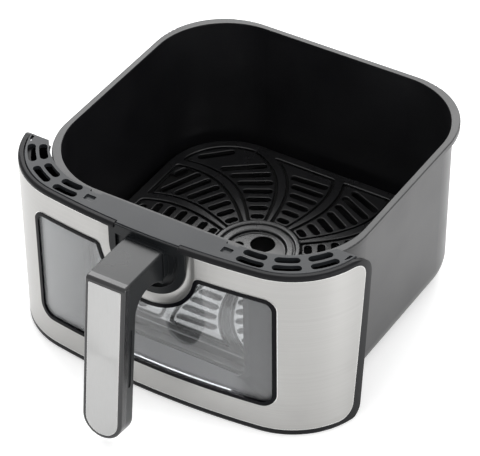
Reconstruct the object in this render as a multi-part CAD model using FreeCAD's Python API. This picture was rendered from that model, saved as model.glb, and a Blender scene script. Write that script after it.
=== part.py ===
import FreeCAD, Part
import math
import os

from FreeCAD import Vector

# Pull-out basket drawer of an air fryer: a coated pan with a crisper plate, a bowed front panel
# with a double window, a slotted top deck and a lever-shaped handle.
# Millimetres. Origin: middle of the pan's flat base. +Z up, the front panel faces -Y.

# ---- pan ----
RIM_Z = 136.5              # top of the pan's flange
PAN_X = 120.6              # outer half width just under the flange
PAN_Y = 114.2              # outer half depth just under the flange
PAN_CORNER = 58.6          # corner radius of the outer wall
PAN_DRAFT = 1.3            # how far each wall leans in at the base
PAN_WALL = 1.3
PAN_BASE_FILLET = 20.0
FLANGE_X = 124.2           # half width over the flange
FLANGE_Y = 117.8
FLANGE_CORNER = 58.0
FLANGE_T = 1.6
FLANGE_LIP = 4.0           # height of the turned-down edge of the flange
SEAT_Y = -115.7            # front face of the pad round the pan's window
SEAT_X = 82.0              # half width of that pad
SEAT_HALF_H = 60.0
SEAT_DEPTH = 8.0

# ---- front panel, plan view ----
FACE_Y = -146.4            # middle of the bowed face
FACE_RADIUS = 600.0        # radius of the bow
FACE_KNOT_X = 85.5         # where the bow meets the corner curve
CORNER_RADIUS = 62.0
PANEL_H = 143.0
WALL_T = 4.0               # plastic wall with the facing sheet
SKIN_T = 1.0
SKIN_Z0 = 5.2
SKIN_Z1 = 139.5
REAR_Y0 = -90.5            # rear edge of the side wings at the base
REAR_SLOPE = 0.089         # how far that edge moves back for each mm up
TRIM_W = 7.6               # width of the rear trim beside the facing sheet
TIP_ROUND = 18.0           # top corner of the wings, side view
EDGE_ROUND = 12.0          # the wings' other corners and the sheet's corners
DISH_R = 37.9              # the sheet curves inwards from here to the notch
DISH_ROUND = 17.0          # radius of that inward curve

# ---- windows ----
WIN_X = 98.5               # half width of the outer window
WIN_Z0 = 25.2
WIN_Z1 = 122.0
NOTCH_Z = 125.2            # centre of the handle notch
NOTCH_R = 31.0             # U notch in the facing sheet
SCOOP_R = 38.3             # curve of the window under the notch
SCOOP_CORNER = 5.0
BEZEL_W = 3.0
BEZEL_PROUD = 0.6
PANE_EDGE = 1.2            # the outer pane ends this far inside the window's outline
GLASS_FRONT = 1.4          # how far the outer pane lies behind the face
INNER_X = 63.0             # half width of the opening in the pan
INNER_HALF_H = 46.0
MID_Z = 72.0               # middle height of the inner window, its frame and the pan's pad

# ---- steel carrier, inner pane and liner ----
CARRIER_T = 1.5
CARRIER_X = 116.0
CARRIER_HALF_H = 58.0
CARRIER_CORNER = 8.0
CARRIER_HOLE_X = 71.0      # half sizes of the opening that the gasket fills
CARRIER_HOLE_HALF_H = 54.5
CARRIER_HOLE_CORNER = 9.0
PANE_X = 68.0
PANE_HALF_H = 51.5
PANE_CORNER = 6.0
PANE_T = 3.0
PANE_BACK = 1.0            # the inner pane lies this far in front of the seat
GASKET_T = 5.0
GASKET_SLACK = 0.4         # gap between the gasket and the carrier's opening
GASKET_COVER = 3.5         # how far the gasket reaches over the pane's edge
CARRIER_SCREW_X = 77.0
CARRIER_SCREW_ZS = (30.0, 72.0, 114.0)
PANEL_SCREW_X = 108.0
PANEL_SCREW_ZS = (36.0, 110.0)
BOSS_R = 4.5
BOSS_L = 18.0
LINER_Y = SEAT_Y - GASKET_T
LINER_T = 2.0
FUNNEL_HALF_H = 46.5
FUNNEL_FRONT_Y = -146.0
FUNNEL_X = 124.0           # half width the funnel would reach at its front plane
FUNNEL_CORNER = 8.5

# ---- top deck ----
DECK_Z0 = 140.0
DECK_INSET = 4.7
DECK_BACK_Y = -90.2
TONGUE_HALF_W = 25.5       # the deck reaches further forward behind the handle
TONGUE_INSET = 3.0
TOP_GAP_HALF_W = 26.0      # gap in the panel's top edge for the handle base
DECK_CLEAR = 7.5           # deck's inner edge outside the pan's mouth
MOUTH_X = 120.0            # pan's mouth, half sizes and corner
MOUTH_Y = 113.6
MOUTH_CORNER = 58.0
SLOT_W = 6.0
SLOT_CENTRE = (70.0, -70.0)
SLOT_ROWS = (62.8, 54.6)
SLOT_ANGLES = (4.5, 28.0, 52.0)
SLOT_HALF_ANGLE = 9.3
LEDGE_T = 3.0              # ledge inside the panel that the deck is screwed to
LEDGE_INSET = 9.0
DECK_SCREW_XS = (-129.6, -46.0, 46.0, 129.6)
DECK_SCREW_INSET = 6.4
DECK_SCREW_L = 4.6
SKIRT_T = 1.6              # downward edge of the deck round the pan's mouth
SKIRT_DROP = 5.5
TROUGH_T = 1.0             # floor under the slots, open to the rear for the air
TROUGH_BACK_Y = -84.0
TROUGH_FREE_X = 45.0       # no floor nearer the middle than this

# ---- handle ----
ARM_TOP = 137.0
ARM_BOTTOM = 118.7
ARM_HALF_W = 16.0
GRIP_TILT = 6.45           # degrees, the grip's foot stands further out
GRIP_PIVOT = Vector(0.0, -195.0, 133.5)
GRIP_DEPTH = 15.2
CAP_DEPTH = 6.3            # front half of the grip
GRIP_LENGTH = 126.3        # from the pivot to the round end, along the grip
INSERT_HALF_W = 13.0
INSERT_T = 1.2
CORE_T = 3.0
CORE_REAR_Y = -136.0       # front of the core's rear plate
CORE_Z = 126.0             # underside of the core's arm
HANDLE_ROUND = 1.6         # long edges of the arm and grip
ARM_FRONT_ROUND = 2.6      # top front corner, side view
GRIP_CORNER = 15.6         # inside corner between the arm and the grip
ROOT_CORNER = 22.5         # curve under the arm's root
BASE_RECESS_R = 25.4       # stepped U shapes round the collar
BASE_STEP_R = 21.5
BASE_FLANGE_R = 35.9
BASE_FLANGE_Y = -139.0     # rear of the flange behind the panel wall
BASE_SCREW_R = 33.6
BASE_SCREW_TURNS = (200.0, 270.0, 340.0)
COLLAR_Y = -148.2          # front of the collar round the arm's root
BASE_INSET = 1.2           # the base's rim lies this far behind the panel's face
CORE_END_Y = -187.0        # where the core's arm runs into its grip strip
CORE_HALF_W = 9.0

# ---- crisper plate ----
PLATE_X = 112.5
PLATE_Y = 107.0
PLATE_MID_Y = -2.5
PLATE_CORNER = 52.0
PLATE_TOP = 32.0
PLATE_T = 2.3
POCKET_DEPTH = 1.0         # sector panels lie this far below the ribs
PLATE_BORDER = 8.0
SKIRT_DEPTH = 7.0          # turned-down edge, from the top face
PLATE_WALL = 2.0
DISH_CUP_R = 22.2          # finger dish in the hub
DISH_DEPTH = 2.9
CUP_R = 25.0
CUP_DEPTH = 5.4
BEAD_R = 30.6
BEAD_H = 0.8
GROOVE_R = 29.0
GROOVE_W = 1.4
GROOVE_DEPTH = 0.9
FINGER_HOLE_R = 9.0
FINGER_HOLE_Y = 6.0
PIN_HOLE_R = 3.3
PIN_HOLE = (-15.2, -3.2)
HUB = Vector(0.0, -4.0, 0.0)
HUB_R = 33.0
SECTORS = 12
FIRST_RIB = 14.0           # degrees
ROWS = 10
ROW_START = 38.5
ROW_PITCH = 10.0
ROW_SLOT_W = 5.6
SLOT_MARGIN = 13.0         # slots stop this far inside the plate's outline
LEG_X = 84.0
LEG_Y = 72.0
LEG_R = 4.0
LEG_ROOT_R = 7.5
FOOT_R = 7.0
FOOT_H = 12.0
FLOOR_GAP = 0.3
FOOT_SOLE = 3.0            # silicone under the end of a leg

PLAN = "plan"
SIDE = "side"
FRONT = "front"


def at(plane, u, v, level):
    """Point (u, v) of a plan, side or front view, at a level along the view's own axis."""
    if plane == PLAN:
        return Vector(u, v, level)
    if plane == SIDE:
        return Vector(level, u, v)
    return Vector(u, level, v)


def outline(points, radii, plane, level):
    """Closed wire through the points, each corner rounded to its radius."""
    corners = []
    for i, here in enumerate(points):
        p = Vector(here[0], here[1], 0)
        before = (Vector(points[i - 1][0], points[i - 1][1], 0) - p).normalize()
        after_point = points[(i + 1) % len(points)]
        after = (Vector(after_point[0], after_point[1], 0) - p).normalize()
        radius = radii[i]
        if radius <= 0:
            corners.append((p, None, p))
            continue
        half = before.getAngle(after) / 2.0
        reach = radius / math.tan(half)
        middle = (before + after).normalize()
        centre = p + middle * (radius / math.sin(half))
        corners.append((p + before * reach, centre - middle * radius, p + after * reach))
    edges = []
    for i, (start, mid, end) in enumerate(corners):
        if mid is not None:
            bend = [at(plane, q.x, q.y, level) for q in (start, mid, end)]
            edges.append(Part.Arc(*bend).toShape())
        following = corners[(i + 1) % len(corners)][0]
        if (following - end).Length > 1e-6:
            a = at(plane, end.x, end.y, level)
            b = at(plane, following.x, following.y, level)
            edges.append(Part.makeLine(a, b))
    return Part.Wire(edges)


def prism(points, radii, plane, low, high):
    """Solid between two levels with the rounded outline as its section."""
    face = Part.Face(outline(points, radii, plane, low))
    return face.extrude(at(plane, 0, 0, high - low))


def rectangle(half_u, half_v, mid_u=0.0, mid_v=0.0):
    """Corner points of a rectangle, anticlockwise."""
    return [(mid_u - half_u, mid_v - half_v), (mid_u + half_u, mid_v - half_v),
            (mid_u + half_u, mid_v + half_v), (mid_u - half_u, mid_v + half_v)]


def pad(half_u, half_v, radius, plane, low, high, mid_u=0.0, mid_v=0.0):
    """Rounded rectangular block."""
    return prism(rectangle(half_u, half_v, mid_u, mid_v), [radius] * 4, plane, low, high)


def block(x0, x1, y0, y1, z0, z1):
    """Plain box between two corners."""
    return Part.makeBox(x1 - x0, y1 - y0, z1 - z0, Vector(x0, y0, z0))


def fuse_all(shapes):
    """One shape from a list of shapes."""
    whole = shapes[0]
    if len(shapes) > 1:
        whole = whole.fuse(shapes[1:])
    return whole.removeSplitter()


def mirror_x(shape):
    """The same shape on the other side of the middle plane."""
    return shape.mirror(Vector(0, 0, 0), Vector(1, 0, 0))


def edges_at_z(solid, z):
    """Edges that lie wholly at one height."""
    found = []
    for edge in solid.Edges:
        box = edge.BoundBox
        if abs(box.ZMin - z) < 1e-3 and abs(box.ZMax - z) < 1e-3:
            found.append(edge)
    return found


def screw(head_at, direction, head_r, head_h, shank_r, shank_l):
    """Pan-head screw: the head's seat is at head_at, the shank runs along direction."""
    head = Part.makeCylinder(head_r, head_h, head_at - direction * head_h, direction)
    head = head.makeFillet(min(head_r, head_h) * 0.35, [head.Edges[0]])
    shank = Part.makeCylinder(shank_r, shank_l, head_at, direction)
    socket = Part.makeCylinder(head_r * 0.45, head_h * 0.5, head_at - direction * head_h, direction)
    return head.fuse(shank).cut(socket).removeSplitter()


# ---- pan ----

def pan_solid(shrink, z0, fillet, top_z):
    """Tapered rounded box of the pan, pulled in by shrink on every side."""
    low = rectangle(PAN_X - PAN_DRAFT - shrink, PAN_Y - PAN_DRAFT - shrink)
    high = rectangle(PAN_X - shrink, PAN_Y - shrink)
    radii = [PAN_CORNER - shrink] * 4
    wires = [outline(low, radii, PLAN, z0), outline(high, radii, PLAN, top_z)]
    solid = Part.makeLoft(wires, True, True)
    return solid.makeFillet(fillet, edges_at_z(solid, z0))


def make_pan():
    outer = pan_solid(0.0, 0.0, PAN_BASE_FILLET, RIM_Z)
    inner = pan_solid(PAN_WALL, PAN_WALL, PAN_BASE_FILLET - PAN_WALL, RIM_Z + 1.0)
    flange = pad(FLANGE_X, FLANGE_Y, FLANGE_CORNER, PLAN, RIM_Z - FLANGE_LIP, RIM_Z)
    flange = flange.makeFillet(0.9, edges_at_z(flange, RIM_Z))
    under = pad(FLANGE_X - FLANGE_T, FLANGE_Y - FLANGE_T, FLANGE_CORNER - FLANGE_T, PLAN,
                RIM_Z - FLANGE_LIP - 1.0, RIM_Z - FLANGE_T)
    seat = pad(SEAT_X, SEAT_HALF_H, 10.0, FRONT, SEAT_Y, SEAT_Y + SEAT_DEPTH, 0.0, MID_Z)
    body = outer.fuse([flange.cut(under), seat])
    body = body.cut(inner)
    mouth = pad(MOUTH_X - 0.4, MOUTH_Y - 0.4, MOUTH_CORNER, PLAN, RIM_Z - 0.8, RIM_Z + 1.0)
    opening = pad(INNER_X, INNER_HALF_H, 8.0, FRONT, SEAT_Y - 5.0, -100.0, 0.0, MID_Z)
    holes = [Part.makeCylinder(1.25, 3.0, p, Vector(0, 1, 0)) for p in carrier_screw_places()]
    return body.cut([mouth, opening] + holes).removeSplitter()


# ---- steel carrier behind the panel, inner window ----

def carrier_screw_places():
    """Where the carrier is screwed to the pan's seat."""
    sides = (-CARRIER_SCREW_X, CARRIER_SCREW_X)
    return [Vector(x, SEAT_Y, z) for x in sides for z in CARRIER_SCREW_ZS]


def panel_screw_places():
    """Where the carrier is screwed to the bosses of the panel."""
    sides = (-PANEL_SCREW_X, PANEL_SCREW_X)
    return [Vector(x, SEAT_Y, z) for x in sides for z in PANEL_SCREW_ZS]


def make_front_carrier():
    front = SEAT_Y - CARRIER_T
    plate = pad(CARRIER_X, CARRIER_HALF_H, CARRIER_CORNER, FRONT, front, SEAT_Y, 0.0, MID_Z)
    window = pad(CARRIER_HOLE_X, CARRIER_HOLE_HALF_H, CARRIER_HOLE_CORNER, FRONT,
                 SEAT_Y - 5.0, SEAT_Y + 5.0, 0.0, MID_Z)
    away = Vector(0, -1, 0)
    holes = [Part.makeCylinder(1.5, 4.0, p + Vector(0, 1, 0), away) for p in carrier_screw_places()]
    holes += [Part.makeCylinder(1.8, 4.0, p + Vector(0, 1, 0), away) for p in panel_screw_places()]
    return plate.cut([window] + holes)


def make_carrier_screws():
    front = Vector(0, -CARRIER_T, 0)
    return [screw(p + front, Vector(0, 1, 0), 2.8, 2.0, 1.25, 4.0) for p in carrier_screw_places()]


def make_panel_screws():
    return [screw(p, Vector(0, -1, 0), 3.6, 2.4, 1.6, 10.0) for p in panel_screw_places()]


def make_inner_glass():
    back = SEAT_Y - PANE_BACK
    return pad(PANE_X, PANE_HALF_H, PANE_CORNER, FRONT, back - PANE_T, back, 0.0, MID_Z)


def make_inner_gasket():
    ring = pad(CARRIER_HOLE_X - GASKET_SLACK, CARRIER_HOLE_HALF_H - GASKET_SLACK,
               CARRIER_HOLE_CORNER - GASKET_SLACK, FRONT, LINER_Y, SEAT_Y, 0.0, MID_Z)
    hole = pad(PANE_X - GASKET_COVER, PANE_HALF_H - GASKET_COVER, PANE_CORNER, FRONT,
               LINER_Y - 1.0, SEAT_Y + 1.0, 0.0, MID_Z)
    return ring.cut([hole, make_inner_glass()])


# ---- front panel ----

def bow_knot():
    """Angle of the bow at the knot and centre of the corner curve."""
    angle = math.asin(FACE_KNOT_X / FACE_RADIUS)
    knot_y = FACE_Y + FACE_RADIUS * (1.0 - math.cos(angle))
    centre_x = FACE_KNOT_X - CORNER_RADIUS * math.sin(angle)
    centre_y = knot_y + CORNER_RADIUS * math.cos(angle)
    return angle, centre_x, centre_y


def panel_plan(inset, z0, z1, back_y=-60.0):
    """Solid filling the bowed plan outline, pulled in by inset, as far back as back_y."""
    angle, cx, cy = bow_knot()
    bow_centre_y = FACE_Y + FACE_RADIUS
    r = FACE_RADIUS - inset
    c = CORNER_RADIUS - inset
    mid_y = bow_centre_y - r
    knot = Vector(r * math.sin(angle), bow_centre_y - r * math.cos(angle), z0)
    half_turn = (math.pi / 2.0 + angle) / 2.0
    bend = Vector(cx + c * math.sin(half_turn), cy - c * math.cos(half_turn), z0)
    side = Vector(cx + c, cy, z0)
    back = Vector(cx + c, back_y, z0)
    flip = [Vector(-p.x, p.y, p.z) for p in (knot, bend, side, back)]
    edges = [Part.Arc(flip[0], Vector(0, mid_y, z0), knot).toShape(),
             Part.Arc(knot, bend, side).toShape(),
             Part.makeLine(side, back),
             Part.makeLine(back, flip[3]),
             Part.makeLine(flip[3], flip[2]),
             Part.Arc(flip[2], flip[1], flip[0]).toShape()]
    return Part.Face(Part.Wire(edges)).extrude(Vector(0, 0, z1 - z0))


def face_y(inset, x):
    """Y of the bowed surface at x, pulled in by inset."""
    angle, cx, cy = bow_knot()
    r = FACE_RADIUS - inset
    if abs(x) <= r * math.sin(angle):
        return FACE_Y + FACE_RADIUS - math.sqrt(r * r - x * x)
    c = CORNER_RADIUS - inset
    return cy - math.sqrt(c * c - (abs(x) - cx) ** 2)


def wall_shell(inset_out, inset_in, z0, z1):
    """Bowed wall between two insets."""
    return panel_plan(inset_out, z0, z1).cut(panel_plan(inset_in, z0 - 1.0, z1 + 1.0, -50.0))


def side_cut(setback, z0, z1, top_round=EDGE_ROUND):
    """Everything in front of the sloping rear edge of the wings."""
    far = FACE_Y - 40.0
    low = REAR_Y0 - setback + REAR_SLOPE * z0
    high = REAR_Y0 - setback + REAR_SLOPE * z1
    points = [(far, z0), (low, z0), (high, z1), (far, z1)]
    return prism(points, [0, EDGE_ROUND, top_round, 0], SIDE, -160.0, 160.0)


def window_prism(inset, y0=-160.0, y1=-110.0):
    """Outline of the outer window as a block through the panel, pulled in by inset."""
    half_z = (WIN_Z1 - WIN_Z0) / 2.0
    mid_z = (WIN_Z0 + WIN_Z1) / 2.0
    points = rectangle(WIN_X - inset, half_z - inset, 0.0, mid_z)
    radii = [12.0 - inset, 12.0 - inset, 10.0 - inset, 10.0 - inset]
    whole = prism(points, radii, FRONT, y0, y1)
    disc = Part.makeCylinder(SCOOP_R + inset, y1 - y0 + 2.0, Vector(0, y0 - 1.0, NOTCH_Z), Vector(0, 1, 0))
    whole = whole.cut(disc)
    corner = max(SCOOP_CORNER - inset, 1.0)
    sharp = []
    for edge in whole.Edges:
        box = edge.BoundBox
        along = abs(box.YLength - (y1 - y0)) < 1e-3 and box.XLength < 1e-3
        if along and abs(box.XMin) < SCOOP_R + 4.0 and box.ZMin > WIN_Z1 - inset - 0.5:
            sharp.append(edge)
    return whole.makeFillet(corner, sharp)


def notch_prism(radius, y0, y1, top_z):
    """U-shaped block round the handle notch, open upwards."""
    round_end = Part.makeCylinder(radius, y1 - y0, Vector(0, y0, NOTCH_Z), Vector(0, 1, 0))
    upper = block(-radius, radius, y0, y1, NOTCH_Z, top_z)
    lower = block(-radius, radius, y0, y1, NOTCH_Z - radius, NOTCH_Z)
    return round_end.common(lower).fuse(upper).removeSplitter()


def deck_screw_places():
    """Seats of the screws under the deck ledge."""
    places = []
    for x in DECK_SCREW_XS:
        places.append(Vector(x, face_y(DECK_SCREW_INSET, x), DECK_Z0 - LEDGE_T))
    return places


def base_screw_places():
    """Seats of the screws on the rear flange of the handle base."""
    places = []
    for turn in BASE_SCREW_TURNS:
        a = math.radians(turn)
        x = BASE_SCREW_R * math.cos(a)
        places.append(Vector(x, BASE_FLANGE_Y, NOTCH_Z + BASE_SCREW_R * math.sin(a)))
    return places


def make_panel_body():
    whole = panel_plan(0.0, 0.0, PANEL_H)
    rims = [e for e in edges_at_z(whole, PANEL_H) + edges_at_z(whole, 0.0)
            if e.BoundBox.YMin < -62.0]
    whole = whole.makeFillet(2.0, rims)
    shell = whole.cut(panel_plan(WALL_T, -1.0, PANEL_H + 1.0, -50.0))
    pan_gap = pad(PAN_X + 1.5, PAN_Y + 1.5, PAN_CORNER + 1.5, PLAN, -1.0, 10.0)
    floor = panel_plan(1.0, 0.0, 3.0).cut(pan_gap)
    floor = floor.common(block(-160, 160, -160, -94.0, -1, 4))
    ledge = wall_shell(2.0, LEDGE_INSET, DECK_Z0 - LEDGE_T, DECK_Z0)
    ledge = ledge.common(block(-160, 160, -160, -94.0, 0, 200))
    ledge = ledge.cut(block(-37, 37, -160, -100, 100, 200))
    bosses = []
    for p in panel_screw_places():
        boss = Part.makeCylinder(BOSS_R, BOSS_L, p - Vector(0, CARRIER_T, 0), Vector(0, -1, 0))
        bosses.append(boss.common(panel_plan(2.0, 0.0, PANEL_H)))
    body = shell.fuse([floor, ledge] + bosses)
    body = body.common(side_cut(0.0, 0.0, PANEL_H, TIP_ROUND))
    cuts = [window_prism(0.0), notch_prism(NOTCH_R, -160.0, -130.0, SKIN_Z1), skin_space()]
    cuts.append(block(-TOP_GAP_HALF_W, TOP_GAP_HALF_W, -160.0, -130.0, NOTCH_Z, PANEL_H + 5.0))
    cuts += [Part.makeCylinder(1.6, 10.0, p, Vector(0, -1, 0)) for p in panel_screw_places()]
    below = Vector(0, 0, -4)
    cuts += [Part.makeCylinder(1.3, 10.0, p + below, Vector(0, 0, 1)) for p in deck_screw_places()]
    behind = Vector(0, 1, 0)
    cuts += [Part.makeCylinder(1.2, 3.2, p + behind, Vector(0, -1, 0)) for p in base_screw_tips()]
    return body.cut(cuts).removeSplitter()


def base_screw_tips():
    """Where the base screws enter the panel wall."""
    return [Vector(p.x, face_y(WALL_T, p.x), p.z) for p in base_screw_places()]


def dished(inset, z0, z1, back_y):
    """Bowed block whose face curves inwards round the handle notch."""
    whole = panel_plan(inset, z0, z1, back_y)
    notch_r = DISH_R - DISH_ROUND + inset
    whole = whole.cut(notch_prism(notch_r, -160.0, -115.0, z1 + 5.0))
    brim = []
    for edge in whole.Edges:
        box = edge.BoundBox
        near = max(abs(box.XMin), abs(box.XMax)) < notch_r + 0.1
        if near and box.YMax < -144.0 and box.ZLength > 5.0:
            brim.append(edge)
    return whole.makeFillet(DISH_ROUND - inset, brim)


def skin_space():
    """Shallow recess on the panel's face that the facing sheet fills."""
    sheet = panel_plan(-1.0, SKIN_Z0, SKIN_Z1).cut(dished(SKIN_T, SKIN_Z0 - 1, SKIN_Z1 + 1, -50.0))
    return sheet.common(side_cut(TRIM_W, SKIN_Z0, SKIN_Z1))


def make_panel_skin():
    sheet = dished(0.0, SKIN_Z0, SKIN_Z1, -60.0)
    sheet = sheet.cut(dished(SKIN_T, SKIN_Z0 - 1, SKIN_Z1 + 1, -50.0))
    sheet = sheet.common(side_cut(TRIM_W, SKIN_Z0, SKIN_Z1))
    return sheet.cut([window_prism(0.0), notch_prism(NOTCH_R, -160.0, -110.0, 200.0)])


def make_outer_glass():
    return window_prism(PANE_EDGE).common(wall_shell(GLASS_FRONT, WALL_T, 10.0, 130.0))


def make_window_bezel():
    ring = window_prism(0.0).cut(window_prism(BEZEL_W))
    ring = ring.common(wall_shell(-BEZEL_PROUD, WALL_T, 10.0, 130.0))
    return ring.cut(make_outer_glass())


def funnel(wall):
    """Block that widens from the inner window to the outer one, grown by wall on every side."""
    near = rectangle(FUNNEL_X + wall, FUNNEL_HALF_H + 0.5 + wall, 0.0, MID_Z)
    far = rectangle(INNER_X + 0.5 + wall, FUNNEL_HALF_H + wall, 0.0, MID_Z)
    radii = [FUNNEL_CORNER + wall] * 4
    wires = [outline(far, radii, FRONT, LINER_Y), outline(near, radii, FRONT, FUNNEL_FRONT_Y)]
    return Part.makeLoft(wires, True, True)


def make_window_liner():
    frame = window_prism(-1.5, -160.0, LINER_Y).common(panel_plan(WALL_T, 5.0, 135.0))
    scoop = Part.makeCylinder(SCOOP_R + 0.6, 60.0, Vector(0, -160.0, NOTCH_Z), Vector(0, 1, 0))
    shell = funnel(LINER_T).cut(funnel(0.0).cut(scoop))
    shell = shell.common(frame)
    edge = frame.cut(window_prism(0.6, -160.0, -100.0)).common(block(-160, 160, -160, -130, 0, 150))
    seat = pad(INNER_X + 7.0, FUNNEL_HALF_H + 6.0, 9.0, FRONT, LINER_Y - LINER_T, LINER_Y, 0.0, MID_Z)
    opening = pad(INNER_X + 0.5, FUNNEL_HALF_H, FUNNEL_CORNER, FRONT, -130.0, -110.0, 0.0, MID_Z)
    inside_scoop = Part.makeCylinder(SCOOP_R - 1.5, 60.0, Vector(0, -160.0, NOTCH_Z), Vector(0, 1, 0))
    return fuse_all([shell, edge, seat.cut(inside_scoop)]).cut(opening).removeSplitter()


# ---- deck ----

def vent_slots():
    """Cutters for the two rows of rounded slots at each side."""
    cutters = []
    cx, cy = SLOT_CENTRE
    for radius in SLOT_ROWS:
        for mid in SLOT_ANGLES:
            inner_r = radius - SLOT_W / 2.0
            outer_r = radius + SLOT_W / 2.0
            centre = math.radians(mid)
            cap = SLOT_W / 2.0 / radius
            reach = math.radians(SLOT_HALF_ANGLE) - cap
            ends = [centre - reach, centre + reach]
            edges = []
            for r, order in ((inner_r, (0, 1)), (outer_r, (1, 0))):
                pts = [Vector(cx + r * math.sin(a), cy - r * math.cos(a), 0)
                       for a in (ends[order[0]], centre, ends[order[1]])]
                edges.append(pts)
            caps = []
            for a, turn in ((ends[1], 1), (ends[0], -1)):
                out = a + turn * cap
                caps.append(Vector(cx + radius * math.sin(out), cy - radius * math.cos(out), 0))
            wire = Part.Wire([Part.Arc(*edges[0]).toShape(),
                              Part.Arc(edges[0][2], caps[0], edges[1][0]).toShape(),
                              Part.Arc(*edges[1]).toShape(),
                              Part.Arc(edges[1][2], caps[1], edges[0][0]).toShape()])
            slot = Part.Face(wire).extrude(Vector(0, 0, 20))
            slot.translate(Vector(0, 0, DECK_Z0 - 8))
            cutters += [slot, mirror_x(slot)]
    return cutters


def pan_mouth(grow, z0, z1):
    """Block of the pan's mouth, grown outwards."""
    return pad(MOUTH_X + grow, MOUTH_Y + grow, MOUTH_CORNER + grow, PLAN, z0, z1)


def make_vent_deck():
    front = block(-160, 160, -160, DECK_BACK_Y, 100, 200)
    plate = panel_plan(DECK_INSET, DECK_Z0, PANEL_H).common(front)
    tongue = panel_plan(TONGUE_INSET, DECK_Z0, PANEL_H)
    tongue = tongue.common(block(-TONGUE_HALF_W, TONGUE_HALF_W, -160, -130, 100, 200))
    plate = plate.fuse(tongue).removeSplitter()
    plate = plate.makeFillet(0.5, edges_at_z(plate, PANEL_H))
    skirt = pan_mouth(DECK_CLEAR + SKIRT_T, RIM_Z - SKIRT_DROP, PANEL_H - 1.0).common(front)
    plate = plate.fuse(skirt.common(panel_plan(DECK_INSET, 100.0, PANEL_H)))
    low = RIM_Z - SKIRT_DROP
    trough = panel_plan(WALL_T + 0.3, low, low + TROUGH_T)
    trough = trough.common(block(-160, 160, -160, TROUGH_BACK_Y, 100, 200))
    trough = trough.cut(block(-TROUGH_FREE_X, TROUGH_FREE_X, -160, -90, 100, 200))
    plate = plate.fuse(trough).cut(pan_mouth(DECK_CLEAR, 100.0, 200.0))
    notches = []
    for side in (-1, 1):
        notches.append(pad(4.0, 3.0, 1.0, PLAN, PANEL_H - 1.5, PANEL_H + 1, side * 55.5, -130.0))
        notches.append(pad(4.6, 2.4, 0.8, PLAN, PANEL_H - 2.0, PANEL_H + 1, side * 55.3, -121.3))
        catch = [(side * 127.4, -99.3), (side * 134.0, -90.8), (side * 128.6, -92.2)]
        pocket = prism(catch, [0.4, 0.4, 0.8], PLAN, PANEL_H - 1.6, PANEL_H + 1)
        notches.append(pocket.common(panel_plan(DECK_INSET + 1.3, 100.0, 200.0)))
    cut = plate.cut(vent_slots() + notches)
    pilot = [Part.makeCylinder(1.1, DECK_SCREW_L, p, Vector(0, 0, 1)) for p in deck_screw_places()]
    return cut.cut(pilot).removeSplitter()


def make_deck_screws():
    return [screw(p, Vector(0, 0, 1), 2.1, 1.6, 1.1, DECK_SCREW_L) for p in deck_screw_places()]


# ---- handle ----

def tilted(shape):
    """Move a shape from the grip's own frame, where its face is upright, to its place."""
    moved = shape.copy()
    moved.rotate(Vector(0, 0, 0), Vector(1, 0, 0), -GRIP_TILT)
    moved.translate(GRIP_PIVOT)
    return moved


def grip_screw_places():
    """Head seats of the grip screws, in the grip's own frame."""
    return [Vector(0, 12.4, z) for z in (-38.0, -92.0)]


def make_handle_core():
    rear = pad(15.0, 12.5, 3.0, FRONT, CORE_REAR_Y, CORE_REAR_Y + CORE_T, 0.0, 124.5)
    holes = [tilted(Part.makeCylinder(1.5, 30.0, p + Vector(0, 5, 0), Vector(0, -1, 0)))
             for p in grip_screw_places()]
    holes += [Part.makeCylinder(1.6, 20.0, p + Vector(0, 5, 0), Vector(0, -1, 0))
              for p in core_screw_places()]
    return fuse_all([rear, core_room()]).cut(holes)


def core_screw_places():
    """Seats of the screws in the core's rear plate."""
    return [Vector(x, CORE_REAR_Y + CORE_T, z) for x in (-10.5, 10.5) for z in (117.0, 132.5)]


def make_core_screws():
    return [screw(p, Vector(0, -1, 0), 3.0, 2.2, 1.6, 8.0) for p in core_screw_places()]


def core_room():
    """The core's arm and grip strip, which also shape the channel in the plastic round them."""
    arm = block(-CORE_HALF_W, CORE_HALF_W, CORE_END_Y, CORE_REAR_Y + 2.0, CORE_Z, CORE_Z + CORE_T)
    grip = tilted(block(-CORE_HALF_W, CORE_HALF_W, 7.5, 7.5 + CORE_T, -106.0, -4.5))
    return fuse_all([arm, grip])


def make_handle_base():
    face = panel_plan(BASE_INSET, 0.0, 200.0)
    block_u = notch_prism(NOTCH_R, -150.0, CORE_REAR_Y, SKIN_Z1).common(face)
    block_u = block_u.cut(block(-60, 60, -142.0, -100, DECK_Z0 - 0.1, 200))
    lip = wall_shell(BASE_INSET, TONGUE_INSET - 0.3, SKIN_Z1 - 5.0, PANEL_H - 0.3)
    lip = lip.common(block(-TONGUE_HALF_W, TONGUE_HALF_W, -160, -130, 0, 200))
    lip = lip.makeFillet(0.7, [e for e in edges_at_z(lip, PANEL_H - 0.3) if e.BoundBox.XLength > 5.0])
    recess = notch_prism(BASE_RECESS_R, -160.0, FACE_Y + 4.0, SKIN_Z1 - 1.5)
    step = notch_prism(BASE_STEP_R, FACE_Y + 3.2, -140.0, SKIN_Z1 - 2.5)
    collar = prism(rectangle(16.5, 15.4, 0.0, 122.4), [12.0, 12.0, 4.0, 4.0], FRONT, COLLAR_Y, -140.0)
    flange = notch_prism(BASE_FLANGE_R, -150.0, BASE_FLANGE_Y, DECK_Z0 - LEDGE_T - 0.1)
    flange = flange.common(panel_plan(WALL_T, 0.0, 200.0))
    whole = fuse_all([block_u.cut(recess), lip, step, collar, flange])
    away = Vector(0, -1, 0)
    holes = [Part.makeCylinder(1.6, 5.0, Vector(p.x, CORE_REAR_Y, p.z), away)
             for p in core_screw_places()]
    holes += [Part.makeCylinder(1.1, 8.0, p, away) for p in base_screw_places()]
    return whole.cut([core_room()] + holes).removeSplitter()


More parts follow.
